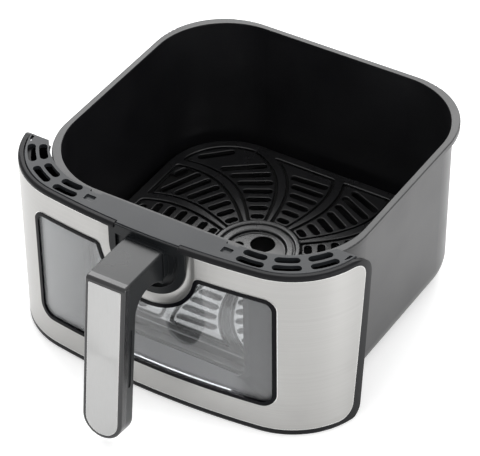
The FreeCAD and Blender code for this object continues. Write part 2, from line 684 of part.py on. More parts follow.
def make_base_screws():
    screws = []
    for p, tip in zip(base_screw_places(), base_screw_tips()):
        screws.append(screw(p, Vector(0, -1, 0), 2.1, 1.4, 1.1, p.y - tip.y + 1.6))
    return screws


def handle_whole():
    """Arm and grip in one, before they are split."""
    tilt = math.radians(GRIP_TILT)

    def grip_point(depth, along):
        y = GRIP_PIVOT.y + depth * math.cos(tilt) + along * math.sin(tilt)
        z = GRIP_PIVOT.z - depth * math.sin(tilt) + along * math.cos(tilt)
        return y, z

    front_top = grip_point(0.0, 4.2)
    front_end = grip_point(0.0, -GRIP_LENGTH)
    rear_end = grip_point(GRIP_DEPTH, -GRIP_LENGTH)
    corner_y = rear_end[0] + (ARM_BOTTOM - rear_end[1]) * math.tan(tilt)
    points = [(COLLAR_Y, ARM_TOP), (front_top[0], ARM_TOP), front_end, rear_end,
              (corner_y, ARM_BOTTOM), (COLLAR_Y - 8.5, ARM_BOTTOM), (COLLAR_Y, ARM_BOTTOM - 9.7)]
    wide = ARM_HALF_W + 4.0
    profile = prism(points, [0, ARM_FRONT_ROUND, 0, 0, GRIP_CORNER, ROOT_CORNER, 0], SIDE, -wide, wide)
    stadium = [(-ARM_HALF_W, -GRIP_LENGTH), (ARM_HALF_W, -GRIP_LENGTH), (ARM_HALF_W, 30.0),
               (-ARM_HALF_W, 30.0)]
    end = tilted(prism(stadium, [15.9, 15.9, 0, 0], FRONT, -60.0, 90.0))
    body = profile.common(end)
    return round_handle(body)


def round_handle(body):
    """Soften the long edges of the arm and grip."""
    long_edges = []
    for edge in body.Edges:
        box = edge.BoundBox
        on_side = box.XLength < 1e-3 and abs(abs(box.XMin) - ARM_HALF_W) < 1e-3
        if on_side and box.YMax < COLLAR_Y + 0.1 and (box.ZLength > 8.0 or box.YLength > 15.0):
            long_edges.append(edge)
    return body.makeFillet(HANDLE_ROUND, long_edges)


def grip_groove():
    """Long finger groove on each side of the grip, in the grip's own frame."""
    cutter = prism(rectangle(1.5, 24.0, 9.4, -58.0), [1.4] * 4, SIDE, ARM_HALF_W - 0.9, 30.0)
    return [tilted(cutter), tilted(mirror_x(cutter))]


def front_space():
    """Half space in front of the grip's parting plane."""
    return tilted(block(-60, 60, -60, CAP_DEPTH, -200, 80))


def screw_ways():
    """Clearance for the grip screws: counterbores behind, pilot holes in front."""
    ways = []
    for p in grip_screw_places():
        ways.append(tilted(Part.makeCylinder(3.3, 20.0, p, Vector(0, 1, 0))))
        ways.append(tilted(Part.makeCylinder(1.5, 9.8, p, Vector(0, -1, 0))))
    return ways


def make_handle_shell():
    shell = handle_whole().cut([front_space(), core_room()] + screw_ways() + grip_groove())
    return shell.removeSplitter()


def insert_block(grow, thick):
    """Long strip with a round lower end, in the grip's own frame."""
    half = INSERT_HALF_W + grow
    points = [(-half, -GRIP_LENGTH + 2.9 - grow), (half, -GRIP_LENGTH + 2.9 - grow), (half, grow),
              (-half, grow)]
    radii = [half - 0.1, half - 0.1, 0.8, 0.8]
    return prism(points, radii, FRONT, 0.0, thick)


def make_handle_front():
    cap = handle_whole().common(front_space())
    pocket = tilted(insert_block(0.3, INSERT_T))
    return cap.cut([pocket] + screw_ways()).removeSplitter()


def make_handle_insert():
    return tilted(insert_block(0.0, INSERT_T))


def make_grip_screws():
    return [tilted(screw(p, Vector(0, -1, 0), 2.8, 2.0, 1.5, 9.8)) for p in grip_screw_places()]


# ---- crisper plate ----

def rib_angle(radius):
    """How far a rib has swung round at a radius, in degrees: none near the hub, more outside."""
    return 10.0 * ((radius - 50.0) / 55.0) ** 2


def polar(radius, degrees, z=0.0):
    """Point round the hub."""
    a = math.radians(degrees)
    return Vector(HUB.x + radius * math.cos(a), HUB.y + radius * math.sin(a), z)


def rib_band(start):
    """Curved band between two sectors, from the hub to past the plate's edge."""
    widths = ((28.0, 4.0), (70.0, 8.0), (112.0, 9.5), (165.0, 10.0))
    sides = []
    for sign in (-1, 1):
        pts = []
        for radius, width in widths:
            offset = math.degrees(sign * width / 2.0 / radius)
            pts.append(polar(radius, start + rib_angle(radius) + offset, PLATE_TOP - POCKET_DEPTH))
        curve = Part.BSplineCurve()
        curve.interpolate(pts)
        sides.append((curve, pts))
    edges = [sides[0][0].toShape(), Part.makeLine(sides[0][1][-1], sides[1][1][-1]),
             sides[1][0].toShape(), Part.makeLine(sides[1][1][0], sides[0][1][0])]
    return Part.Face(Part.Wire(edges)).extrude(Vector(0, 0, POCKET_DEPTH + 1.0))


def inside_plate(point, margin):
    """True where a point lies inside the plate's outline by at least the margin."""
    dx = max(abs(point.x) - (PLATE_X - PLATE_CORNER), 0.0)
    dy = max(abs(point.y - PLATE_MID_Y) - (PLATE_Y - PLATE_CORNER), 0.0)
    if dx > 0 and dy > 0:
        return math.hypot(dx, dy) < PLATE_CORNER - margin
    return max(dx, dy) < PLATE_CORNER - margin


def plate_slots():
    """Cutters for the rows of slots in every sector."""
    cutters = []
    for k in range(SECTORS):
        start = FIRST_RIB + k * 360.0 / SECTORS
        for row in range(ROWS):
            radius = ROW_START + row * ROW_PITCH
            middle = start + 180.0 / SECTORS + rib_angle(radius)
            half = radius * math.sin(math.radians(180.0 / SECTORS)) - 3.2 - 0.045 * radius
            lean = Vector(-math.sin(math.radians(middle)), math.cos(math.radians(middle)), 0)
            centre = polar(radius, middle)
            low, high = -half, half
            while low < high and not inside_plate(centre + lean * low, SLOT_MARGIN):
                low += 1.0
            while high > low and not inside_plate(centre + lean * high, SLOT_MARGIN):
                high -= 1.0
            if high - low < ROW_SLOT_W + 3.0:
                continue
            points = rectangle((high - low) / 2.0, ROW_SLOT_W / 2.0)
            ends = [ROW_SLOT_W / 2.0 - 0.05] * 4
            slot = prism(points, ends, PLAN, PLATE_TOP - 6.0, PLATE_TOP + 2.0)
            slot.rotate(Vector(0, 0, 0), Vector(0, 0, 1), middle + 90.0)
            slot.translate(centre + lean * ((low + high) / 2.0))
            cutters.append(slot)
    return cutters


def leg_places():
    """Names and centres of the four legs."""
    names = {(-1, -1): "front_left", (1, -1): "front_right", (-1, 1): "rear_left", (1, 1): "rear_right"}
    return {name: Vector(sx * LEG_X, PLATE_MID_Y + sy * LEG_Y, 0) for (sx, sy), name in names.items()}


def plate_pad(inset, z0, z1):
    """Block of the plate's outline, pulled in by inset."""
    return pad(PLATE_X - inset, PLATE_Y - inset, PLATE_CORNER - inset, PLAN, z0, z1, 0.0, PLATE_MID_Y)


def hub_disc(radius, height, z0):
    """Upright cylinder round the hub's axis."""
    return Part.makeCylinder(radius, height, HUB + Vector(0, 0, z0))


def make_crisper_plate():
    under = PLATE_TOP - PLATE_T
    plate = plate_pad(0.0, under, PLATE_TOP)
    plate = plate.makeFillet(0.8, edges_at_z(plate, PLATE_TOP))
    ribs = [rib_band(FIRST_RIB + k * 360.0 / SECTORS) for k in range(SECTORS)]
    pocket = plate_pad(PLATE_BORDER, PLATE_TOP - POCKET_DEPTH, PLATE_TOP + 1.0)
    pocket = pocket.cut([hub_disc(HUB_R, 20.0, PLATE_TOP - 10.0)] + ribs)
    skirt = plate_pad(0.0, PLATE_TOP - SKIRT_DEPTH, under)
    skirt = skirt.cut(plate_pad(PLATE_WALL, PLATE_TOP - SKIRT_DEPTH - 1.0, PLATE_TOP))
    cup = hub_disc(CUP_R, CUP_DEPTH, PLATE_TOP - CUP_DEPTH)
    bead = hub_disc(BEAD_R, BEAD_H, PLATE_TOP).cut(hub_disc(GROOVE_R, 3.0, PLATE_TOP - 1.0))
    legs = []
    for p in leg_places().values():
        low = PAN_WALL + FLOOR_GAP + FOOT_SOLE
        legs.append(Part.makeCylinder(LEG_R, under - low, p + Vector(0, 0, low)))
        legs.append(Part.makeCylinder(LEG_ROOT_R, 1.0, p + Vector(0, 0, under - 1.0)))
    solid = plate.fuse([skirt, cup, bead] + legs)
    dish = hub_disc(DISH_CUP_R, 10.0, PLATE_TOP - DISH_DEPTH)
    groove = hub_disc(GROOVE_R, 5.0, PLATE_TOP - GROOVE_DEPTH)
    groove = groove.cut(hub_disc(GROOVE_R - GROOVE_W, 9.0, PLATE_TOP - 3.0))
    deep = PLATE_TOP - 12.0
    finger = Part.makeCylinder(FINGER_HOLE_R, 20.0, Vector(0.0, FINGER_HOLE_Y, deep))
    pin_hole = Part.makeCylinder(PIN_HOLE_R, 20.0, Vector(PIN_HOLE[0], PIN_HOLE[1], deep))
    slots = [s for s in plate_slots() if clear_of_legs(s)]
    return solid.cut([pocket, dish, groove, finger, pin_hole] + slots).removeSplitter()


def clear_of_legs(slot):
    """True where a slot doesn't run into the root of a leg."""
    for p in leg_places().values():
        root = Part.makeCylinder(LEG_ROOT_R + 0.3, 12.0, p + Vector(0, 0, PLATE_TOP - 10.0))
        if slot.distToShape(root)[0] < 0.4:
            return False
    return True


def make_foot(place):
    """Silicone cap on a leg."""
    low = PAN_WALL + FLOOR_GAP
    cap = Part.makeCylinder(FOOT_R, FOOT_H, place + Vector(0, 0, low))
    cap = cap.makeFillet(1.5, [e for e in cap.Edges if e.BoundBox.ZLength < 1e-3])
    return cap.cut(Part.makeCylinder(LEG_R, FOOT_H, place + Vector(0, 0, low + FOOT_SOLE)))


# ---- write every node ----

def main():
    os.makedirs("parts", exist_ok=True)
    nodes = {
        "pan": make_pan(),
        "front_carrier": make_front_carrier(),
        "carrier_screws": Part.makeCompound(make_carrier_screws()),
        "inner_window_gasket": make_inner_gasket(),
        "inner_window_glass": make_inner_glass(),
        "window_liner": make_window_liner(),
        "panel_body": make_panel_body(),
        "panel_skin": make_panel_skin(),
        "window_bezel": make_window_bezel(),
        "outer_window_glass": make_outer_glass(),
        "panel_screws": Part.makeCompound(make_panel_screws()),
        "vent_deck": make_vent_deck(),
        "deck_screws": Part.makeCompound(make_deck_screws()),
        "handle_base": make_handle_base(),
        "base_screws": Part.makeCompound(make_base_screws()),
        "handle_core": make_handle_core(),
        "core_screws": Part.makeCompound(make_core_screws()),
        "handle_shell": make_handle_shell(),
        "handle_front": make_handle_front(),
        "handle_insert": make_handle_insert(),
        "grip_screws": Part.makeCompound(make_grip_screws()),
        "crisper_plate": make_crisper_plate(),
    }
    for name, place in leg_places().items():
        nodes["crisper_foot_" + name] = make_foot(place)
    for name, shape in nodes.items():
        shape.exportStep("parts/" + name + ".step")
        print(name, "solids", len(shape.Solids), "valid", shape.isValid(), "volume", round(shape.Volume))


main()
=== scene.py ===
import math

import bmesh
import bpy
from mathutils import Matrix, Vector


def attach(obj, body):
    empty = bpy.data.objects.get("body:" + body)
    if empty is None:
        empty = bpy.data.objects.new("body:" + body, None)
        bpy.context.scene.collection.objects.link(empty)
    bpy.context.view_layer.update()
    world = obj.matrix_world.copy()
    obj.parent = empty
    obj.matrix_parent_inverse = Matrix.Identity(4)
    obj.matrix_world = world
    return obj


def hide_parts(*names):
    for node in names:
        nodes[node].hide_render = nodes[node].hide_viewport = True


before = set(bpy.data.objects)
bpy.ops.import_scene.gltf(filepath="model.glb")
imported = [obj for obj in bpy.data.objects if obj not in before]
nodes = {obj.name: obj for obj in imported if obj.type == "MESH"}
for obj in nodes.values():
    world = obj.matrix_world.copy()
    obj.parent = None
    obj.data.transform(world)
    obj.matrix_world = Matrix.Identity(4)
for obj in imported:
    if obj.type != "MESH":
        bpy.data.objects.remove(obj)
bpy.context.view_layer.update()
MM = 0.001

# ---- camera ----

CAM_PLACE = Vector((779.075, -1259.704, 1251.33)) * MM
CAM_TURN = math.radians(32.241)
CAM_DROP = math.radians(39.075)
CAM_ROLL = math.radians(-0.861)
LENS = 195.0               # millimetres, as the sensor's width
SENSOR = 36.0
SHIFT_X = -0.00108333      # parts of the image's width
SHIFT_Y = 0.00028958


def make_camera():
    data = bpy.data.cameras.new("view_camera")
    camera = bpy.data.objects.new("view_camera", data)
    bpy.context.scene.collection.objects.link(camera)
    forward = Vector((-math.sin(CAM_TURN) * math.cos(CAM_DROP),
                      math.cos(CAM_TURN) * math.cos(CAM_DROP),
                      -math.sin(CAM_DROP)))
    level = Vector((math.cos(CAM_TURN), math.sin(CAM_TURN), 0.0))
    up = level.cross(forward)
    right = level * math.cos(CAM_ROLL) + up * math.sin(CAM_ROLL)
    top = right.cross(forward)
    camera.matrix_world = Matrix((
        (right.x, top.x, -forward.x, CAM_PLACE.x),
        (right.y, top.y, -forward.y, CAM_PLACE.y),
        (right.z, top.z, -forward.z, CAM_PLACE.z),
        (0.0, 0.0, 0.0, 1.0)))
    data.sensor_fit = "HORIZONTAL"
    data.sensor_width = SENSOR
    data.lens = LENS
    data.shift_x = SHIFT_X
    data.shift_y = SHIFT_Y
    data.clip_start = 0.05
    data.clip_end = 20.0
    bpy.context.scene.camera = camera


# ---- materials ----

# colour of the painted shade inside the deck's slots, skirt and trough
BLACK = (0.001, 0.001, 0.001)
MOULD_GRAIN = 1500.0       # grains to a metre in moulded plastic
RUB_AND_HIGHLIGHT_WIDTH = 0.0006            # width of the lighter rim along the edges, partly rubbed wear and partly painted highlight, metres
# colour of the lighter edges: partly rubbed wear, partly painted highlight
DEFAULT_WEAR_AND_HIGHLIGHT = (0.16, 0.16, 0.165)
SLOT_SHADE = 0.138         # the deck is painted black below this height as shade: inside its slots, skirt and trough
PAINTED_VEIL_LEFT = -0.085         # the outer pane's pale veil, painted light that makes the left of the window paler, thins out between these two X places
PAINTED_VEIL_RIGHT = -0.02
CLEAR = 0.97


class Look:
    """A procedural material: one Principled shader, fed by noises in the object's own metres."""

    def __init__(self, name, **sockets):
        self.material = bpy.data.materials.new(name)
        self.material.use_nodes = True
        self.tree = self.material.node_tree
        self.shader = self.tree.nodes["Principled BSDF"]
        self.place = self.tree.nodes.new("ShaderNodeTexCoord").outputs["Object"]
        for socket, value in sockets.items():
            self.shader.inputs[socket.replace("_", " ")].default_value = value

    def join(self, source, target):
        self.tree.links.new(source, target)

    def noise(self, scale, stretch=(1.0, 1.0, 1.0), detail=3.0):
        """Noise with about scale cells to a metre, squeezed along each axis by stretch."""
        lay = self.tree.nodes.new("ShaderNodeMapping")
        lay.inputs["Scale"].default_value = stretch
        self.join(self.place, lay.inputs["Vector"])
        field = self.tree.nodes.new("ShaderNodeTexNoise")
        field.inputs["Scale"].default_value = scale
        field.inputs["Detail"].default_value = detail
        self.join(lay.outputs["Vector"], field.inputs["Vector"])
        return field.outputs["Fac"]

    def spread(self, factor, low, high, start=0.3, end=0.7):
        """A number from low to high while the factor goes from start to end."""
        ramp = self.tree.nodes.new("ShaderNodeMapRange")
        for socket, value in (("From Min", start), ("From Max", end), ("To Min", low), ("To Max", high)):
            ramp.inputs[socket].default_value = value
        self.join(factor, ramp.inputs["Value"])
        return ramp.outputs["Result"]

    def blend(self, factor, first, second):
        """Colour between two colours, or between a socket and a colour."""
        mixer = self.tree.nodes.new("ShaderNodeMix")
        mixer.data_type = "RGBA"
        self.join(factor, mixer.inputs["Factor"])
        for value, target in ((first, mixer.inputs[6]), (second, mixer.inputs[7])):
            if isinstance(value, tuple):
                target.default_value = (*value, 1.0)
            else:
                self.join(value, target)
        return mixer.outputs[2]

    def edges(self, width):
        """1 along the convex and concave edges, within about width metres, and 0 on the flats."""
        rounded = self.tree.nodes.new("ShaderNodeBevel")
        rounded.samples = 4
        rounded.inputs["Radius"].default_value = width
        geometry = self.tree.nodes.new("ShaderNodeNewGeometry")
        compare = self.tree.nodes.new("ShaderNodeVectorMath")
        compare.operation = "DOT_PRODUCT"
        self.join(rounded.outputs["Normal"], compare.inputs[0])
        self.join(geometry.outputs["Normal"], compare.inputs[1])
        return self.spread(compare.outputs["Value"], 1.0, 0.0, 0.86, 0.995)

    def outward(self):
        """1 on faces that look away from the upright axis through the origin, 0 on the others."""
        geometry = self.tree.nodes.new("ShaderNodeNewGeometry")
        flat = self.tree.nodes.new("ShaderNodeVectorMath")
        flat.operation = "MULTIPLY"
        flat.inputs[1].default_value = (1.0, 1.0, 0.0)
        self.join(self.place, flat.inputs[0])
        compare = self.tree.nodes.new("ShaderNodeVectorMath")
        compare.operation = "DOT_PRODUCT"
        self.join(geometry.outputs["Normal"], compare.inputs[0])
        self.join(flat.outputs["Vector"], compare.inputs[1])
        return self.spread(compare.outputs["Value"], 0.0, 1.0, 0.02, 0.04)

    def along(self, axis, low, high, start, end):
        """A number from low to high while one coordinate goes from start to end, in metres."""
        parts = self.tree.nodes.new("ShaderNodeSeparateXYZ")
        self.join(self.place, parts.inputs["Vector"])
        return self.spread(parts.outputs[axis], low, high, start, end)

    def color(self, socket):
        self.join(socket, self.shader.inputs["Base Color"])

    def rough(self, socket):
        self.join(socket, self.shader.inputs["Roughness"])

    def relief(self, height, depth):
        """Bumps of a depth in metres."""
        bump = self.tree.nodes.new("ShaderNodeBump")
        bump.inputs["Strength"].default_value = 1.0
        bump.inputs["Distance"].default_value = depth
        self.join(height, bump.inputs["Height"])
        self.join(bump.outputs["Normal"], self.shader.inputs["Normal"])


def coated(name, dark, light, rough, gloss, lit_outside=None):
    """Non-stick coating: satin, cloudy, with a fine orange peel. Given an outside colour, the faces that
    look outward are painted in it as lit, and the rest keep the darker colour as painted shade.
    """
    look = Look(name, Specular_IOR_Level=gloss)
    cloud = look.noise(22.0, detail=4.0)
    speck = look.noise(2600.0, detail=1.0)
    base = look.blend(look.spread(cloud, 0.0, 1.0), dark, light)
    # painted shade: inner faces and floors stay dark, outward faces get the lighter lit colour
    if lit_outside:
        base = look.blend(look.outward(), base, lit_outside)
    look.color(look.blend(look.spread(speck, 0.0, 0.35, 0.64, 0.78), base, (0.08, 0.08, 0.083)))
    look.rough(look.spread(cloud, rough - 0.03, rough + 0.04))
    look.relief(look.noise(850.0), 0.00003)
    return look.material


def moulded(name, dark, light, rough, gloss, wear_and_highlight=DEFAULT_WEAR_AND_HIGHLIGHT, depth=0.00003, painted_shade_below=None):
    """Moulded plastic: fine grain, flow marks, and edges made lighter as partly rubbed wear and partly
    painted highlight. Below a given height it is painted black as shade, with no reflection.
    """
    look = Look(name, Specular_IOR_Level=gloss)
    flow = look.noise(16.0, (1.0, 1.0, 0.4), 4.0)
    base = look.blend(look.spread(flow, 0.0, 1.0), dark, light)
    # lighter edges: partly rubbed wear, partly painted highlight
    wear_and_highlight_mask = look.tree.nodes.new("ShaderNodeMath")
    wear_and_highlight_mask.operation = "MULTIPLY"
    look.join(look.edges(RUB_AND_HIGHLIGHT_WIDTH), wear_and_highlight_mask.inputs[0])
    look.join(look.spread(look.noise(120.0), 0.15, 0.7), wear_and_highlight_mask.inputs[1])
    base = look.blend(wear_and_highlight_mask.outputs["Value"], base, wear_and_highlight)
    # painted shade: black, and without reflection, below the given height
    if painted_shade_below:
        base = look.blend(look.along("Z", 1.0, 0.0, painted_shade_below - 0.001, painted_shade_below), base, BLACK)
        look.join(look.along("Z", 0.0, gloss, painted_shade_below - 0.001, painted_shade_below), look.shader.inputs["Specular IOR Level"])
    look.color(base)
    look.rough(look.spread(flow, rough - 0.04, rough + 0.05))
    look.relief(look.noise(MOULD_GRAIN, detail=2.0), depth)
    return look.material


def brushed(name, dark, light, rough, squeeze, highlight_width, turn):
    """Brushed metal: fine scratches one way, faint stains, and a painted highlight of a width in metres
    along its edges.
    """
    look = Look(name, Metallic=1.0, Anisotropic=0.75, Anisotropic_Rotation=turn)
    tangent = look.tree.nodes.new("ShaderNodeTangent")
    tangent.direction_type = "RADIAL"
    tangent.axis = "Z"
    look.join(tangent.outputs["Tangent"], look.shader.inputs["Tangent"])
    scratch = look.noise(1.0, squeeze, 2.0)
    stain = look.noise(14.0, detail=5.0)
    base = look.blend(look.spread(scratch, 0.0, 1.0, 0.2, 0.8), dark, light)
    shade = tuple(value * 0.88 for value in dark)
    base = look.blend(look.spread(stain, 0.4, 0.0, 0.34, 0.5), base, shade)
    # painted highlight: the edges near white
    look.color(look.blend(look.edges(highlight_width), base, (0.95, 0.95, 0.94)))
    look.rough(look.spread(scratch, rough - 0.02, rough + 0.03, 0.2, 0.8))
    look.relief(scratch, 0.000001)
    return look.material


def plated(name, dark, light, rough):
    """Plated metal: mottled spangle."""
    look = Look(name, Metallic=1.0)
    spangle = look.noise(260.0, detail=4.0)
    look.color(look.blend(look.spread(spangle, 0.0, 1.0), dark, light))
    look.rough(look.spread(spangle, rough - 0.06, rough + 0.08))
    look.relief(look.noise(900.0), 0.00001)
    return look.material


def pane(name, tint, painted_veil=0.0):
    """Tempered glass with faint smears, and a pale veil of painted light that thins out from left to
    right.
    """
    look = Look(name, Transmission_Weight=1.0, IOR=1.46, Base_Color=(*tint, 1.0))
    look.rough(look.spread(look.noise(45.0, (1.0, 1.0, 0.5), 4.0), 0.0, 0.012, 0.45, 0.8))
    if painted_veil:
        # painted light: the pane less clear and paler towards the left
        clear = look.along("X", 1.0 - painted_veil, CLEAR, PAINTED_VEIL_LEFT, PAINTED_VEIL_RIGHT)
        look.join(clear, look.shader.inputs["Transmission Weight"])
    return look.material


def soft_rubber(name, dark, light):
    """Matt silicone with a dusty bloom."""
    look = Look(name, Specular_IOR_Level=0.4)
    dust = look.noise(160.0, detail=5.0)
    look.color(look.blend(look.spread(dust, 0.0, 1.0), dark, light))
    look.rough(look.spread(dust, 0.5, 0.68))
    look.relief(look.noise(1200.0), 0.00002)
    return look.material


def finish_nodes():
    """Give every piece of the frame its material.

    The pieces not named here are the screws, the feet and the crisper plate, which isn't shown.
    """
    looks = {
        # the pan's outer walls are painted lighter as lit, its inside darker as painted shade
        "pan": coated("pan_coating", (0.004, 0.004, 0.005), (0.007, 0.007, 0.008), 0.36, 0.4,
                      lit_outside=(0.026, 0.026, 0.027)),
        "panel_skin": brushed("facing_steel", (0.375, 0.371, 0.362), (0.41, 0.406, 0.397), 0.33,
                              (3.0, 3.0, 1500.0), 0.0009, 0.25),
        "panel_body": moulded("panel_plastic", (0.007, 0.007, 0.008), (0.011, 0.011, 0.012), 0.36, 0.1,
                              (0.05, 0.05, 0.052)),
        "vent_deck": moulded("deck_plastic", (0.017, 0.019, 0.022), (0.024, 0.026, 0.029), 0.40, 0.24,
                              painted_shade_below=SLOT_SHADE),
        "handle_base": moulded("base_plastic", (0.006, 0.007, 0.008), (0.010, 0.011, 0.012), 0.26, 0.16,
                               (0.07, 0.07, 0.073)),
        "handle_shell": moulded("handle_plastic", (0.008, 0.009, 0.010), (0.012, 0.013, 0.014), 0.27, 0.3,
                                (0.07, 0.07, 0.073)),
        "handle_front": moulded("cap_plastic", (0.004, 0.004, 0.005), (0.007, 0.007, 0.008), 0.22,
                                0.6, (0.07, 0.07, 0.073), depth=0.00001),
        "handle_insert": brushed("insert_metal", (0.40, 0.40, 0.397), (0.43, 0.43, 0.427), 0.38,
                                 (1500.0, 1500.0, 4.0), 0.0005, 0.0),
        "window_bezel": moulded("bezel_plastic", (0.002, 0.002, 0.003), (0.004, 0.004, 0.005), 0.12,
                                0.06, (0.012, 0.012, 0.013), depth=0.000006),
        "window_liner": moulded("liner_plastic", (0.026, 0.027, 0.031), (0.036, 0.037, 0.041), 0.40, 0.08,
                                (0.07, 0.07, 0.073)),
        "outer_window_glass": pane("outer_glass", (0.93, 0.945, 0.955), 0.16),
        "inner_window_glass": pane("inner_glass", (0.96, 0.97, 0.975)),
        "inner_window_gasket": soft_rubber("silicone", (0.018, 0.018, 0.019), (0.028, 0.028, 0.030)),
        "front_carrier": plated("sheet_steel", (0.42, 0.42, 0.43), (0.58, 0.58, 0.59), 0.36),
        "handle_core": plated("core_steel", (0.40, 0.40, 0.41), (0.55, 0.55, 0.56), 0.40),
    }
    screw_look = plated("screw_steel", (0.22, 0.22, 0.23), (0.34, 0.34, 0.35), 0.34)
    foot_look = soft_rubber("foot_silicone", (0.014, 0.014, 0.015), (0.024, 0.024, 0.026))
    for name, piece in nodes.items():
        look = looks.get(name, foot_look if "foot" in name else screw_look)
        piece.data.materials.clear()
        piece.data.materials.append(look)
    for name in ("outer_window_glass", "inner_window_glass"):
        nodes[name].visible_shadow = False


# ---- crisper plate: ribs, sector pads and hub as rounded surfaces, in millimetres ----

PLATE_HALF_X = 112.5
PLATE_HALF_Y = 107.0
PLATE_MID_Y = -2.5
PLATE_CORNER = 52.0
PLATE_TOP = 32.0
PAD_TOP = 31.6
GROOVE_FLOOR = 29.8
SHEET_UNDER = 28.8
SINK = 0.4                 # the ribs and the pads start this far below the grooves' floor
SKIRT_FOOT = 25.0
SKIRT_T = 2.0
BORDER = 8.0
RIB_TRIM = 0.8             # the ribs' rounded sides stand this far inside their full width
GROOVE_EDGE = 1.4          # and the pads' edges this far outside it
HUB_Y = -4.0
HUB_R = 33.0
SECTORS = 12
FIRST_RIB = 14.0
RIB_WIDTHS = ((28.0, 4.0), (70.0, 8.0), (112.0, 9.5), (165.0, 10.0))
ROWS = 10
ROW_START = 38.5
ROW_PITCH = 10.0
SLOT_W = 5.6
SLOT_MARGIN = 13.0
MIN_SLOT = SLOT_W + 3.0    # a shorter slot is left out
DISH_R = 21.0
DISH_FLOOR = 29.1
CUP_R = 25.0
CUP_UNDER = 26.6
FINGER_HOLE = (0.0, 6.0)
FINGER_HOLE_R = 9.0
PIN_HOLE = (-15.2, -3.2)
PIN_HOLE_R = 3.3
SHEET_BEVEL = 0.15
RIB_BEVEL = 0.6
PAD_BEVEL = 0.4
SKIRT_BEVEL = 0.3
DISH_BEVEL = 0.5
LEG_PLACES = [(sx * 84.0, PLATE_MID_Y + sy * 72.0) for sx in (-1, 1) for sy in (-1, 1)]
LEG_R = 4.0
LEG_ROOT_R = 7.5
LEG_END = 4.6


def rib_angle(radius):
    """How far a rib has swung round at a radius, in degrees."""
    return 10.0 * ((radius - 50.0) / 55.0) ** 2


def rib_width(radius):
    """Width of a rib at a radius."""
    for (r0, w0), (r1, w1) in zip(RIB_WIDTHS, RIB_WIDTHS[1:]):
        if radius <= r1:
            return w0 + (w1 - w0) * (radius - r0) / (r1 - r0)
    return RIB_WIDTHS[-1][1]


def polar(radius, degrees):
    """Point round the hub."""
    a = math.radians(degrees)
    return Vector((radius * math.cos(a), HUB_Y + radius * math.sin(a)))


def inside_plate(point, margin):
    """True where a point lies inside the plate's outline by at least the margin."""
    dx = max(abs(point.x) - (PLATE_HALF_X - PLATE_CORNER), 0.0)
    dy = max(abs(point.y - PLATE_MID_Y) - (PLATE_HALF_Y - PLATE_CORNER), 0.0)
    if dx > 0 and dy > 0:
        return math.hypot(dx, dy) < PLATE_CORNER - margin
    return max(dx, dy) < PLATE_CORNER - margin


def reach(degrees, margin):
    """Distance from the hub to the plate's outline, less the margin, in one direction."""
    low, high = 0.0, 200.0
    while high - low > 0.01:
        middle = (low + high) / 2.0
        if inside_plate(polar(middle, degrees), margin):
            low = middle
        else:
            high = middle
    return low


def rounded_box(inset, steps=14):
    """Outline of the plate, pulled in by the inset."""
    radius = PLATE_CORNER - inset
    points = []
    for quarter, (sx, sy) in enumerate(((1, 1), (-1, 1), (-1, -1), (1, -1))):
        cx = sx * (PLATE_HALF_X - PLATE_CORNER)
        cy = PLATE_MID_Y + sy * (PLATE_HALF_Y - PLATE_CORNER)
        for i in range(steps + 1):
            a = math.radians(90.0 * (quarter + i / steps))
            points.append(Vector((cx + radius * math.cos(a), cy + radius * math.sin(a))))
    return points


def circle(centre, radius, steps=48):
    """Round outline."""
    turn = 2.0 * math.pi / steps
    return [Vector((centre[0] + radius * math.cos(i * turn), centre[1] + radius * math.sin(i * turn)))
            for i in range(steps)]


def evenly(points, step):
    """The closed outline again, with points a step apart."""
    out = []
    spare = 0.0
    for a, b in zip(points, points[1:] + points[:1]):
        length = (b - a).length
        along = spare
        while along < length:
            out.append(a.lerp(b, along / length))
            along += step
        spare = along - length
    return out


def softened(points, step=0.9, passes=5):
    """Closed outline with its corners rounded by averaging neighbours."""
    points = evenly(points, step)
    for _ in range(passes):
        count = len(points)
        points = [(points[i - 1] + points[i] * 2.0 + points[(i + 1) % count]) / 4.0 for i in range(count)]
    return points


def sector_outline(start, shrink):
    """Outline between two ribs, the hub and the border, pulled in by shrink all round."""
    def side(rib_start, sign, radius):
        half = rib_width(radius) / 2.0 + shrink
        return rib_start + rib_angle(radius) + sign * math.degrees(half / radius)

    sides = []
    for rib_start, sign in ((start, 1), (start + 360.0 / SECTORS, -1)):
        run = []
        radius = HUB_R + shrink
        while inside_plate(polar(radius, side(rib_start, sign, radius)), BORDER + shrink):
            run.append((radius, side(rib_start, sign, radius)))
            radius += 1.0
        sides.append(run)
    first, last = sides[0][-1][1], sides[1][-1][1]
    rim_steps = max(int((last - first) / 1.0), 2)
    rim = []
    for i in range(1, rim_steps):
        turn = first + (last - first) * i / rim_steps
        rim.append((reach(turn, BORDER + shrink), turn))
    low, high = sides[0][0][1], sides[1][0][1]
    hub = [(HUB_R + shrink, high + (low - high) * i / 8.0) for i in range(1, 8)]
    path = sides[0] + rim + sides[1][::-1] + hub
    return softened([polar(radius, turn) for radius, turn in path])


def slot_outlines():
    """Rounded slots, row by row in every sector."""
    slots = []
    half_sector = 180.0 / SECTORS
    for k in range(SECTORS):
        start = FIRST_RIB + k * 2.0 * half_sector
        for row in range(ROWS):
            radius = ROW_START + row * ROW_PITCH
            middle = start + half_sector + rib_angle(radius)
            half = radius * math.sin(math.radians(half_sector)) - 3.2 - 0.045 * radius
            a = math.radians(middle)
            lean = Vector((-math.sin(a), math.cos(a)))
            centre = polar(radius, middle)
            low, high = -half, half
            while low < high and not inside_plate(centre + lean * low, SLOT_MARGIN):
                low += 1.0
            while high > low and not inside_plate(centre + lean * high, SLOT_MARGIN):
                high -= 1.0
            if high - low < MIN_SLOT:
                continue
            slots.append(stadium(centre, lean, low, high, SLOT_W / 2.0, a))
    return [slot for slot in slots if clear_of_legs(slot)]


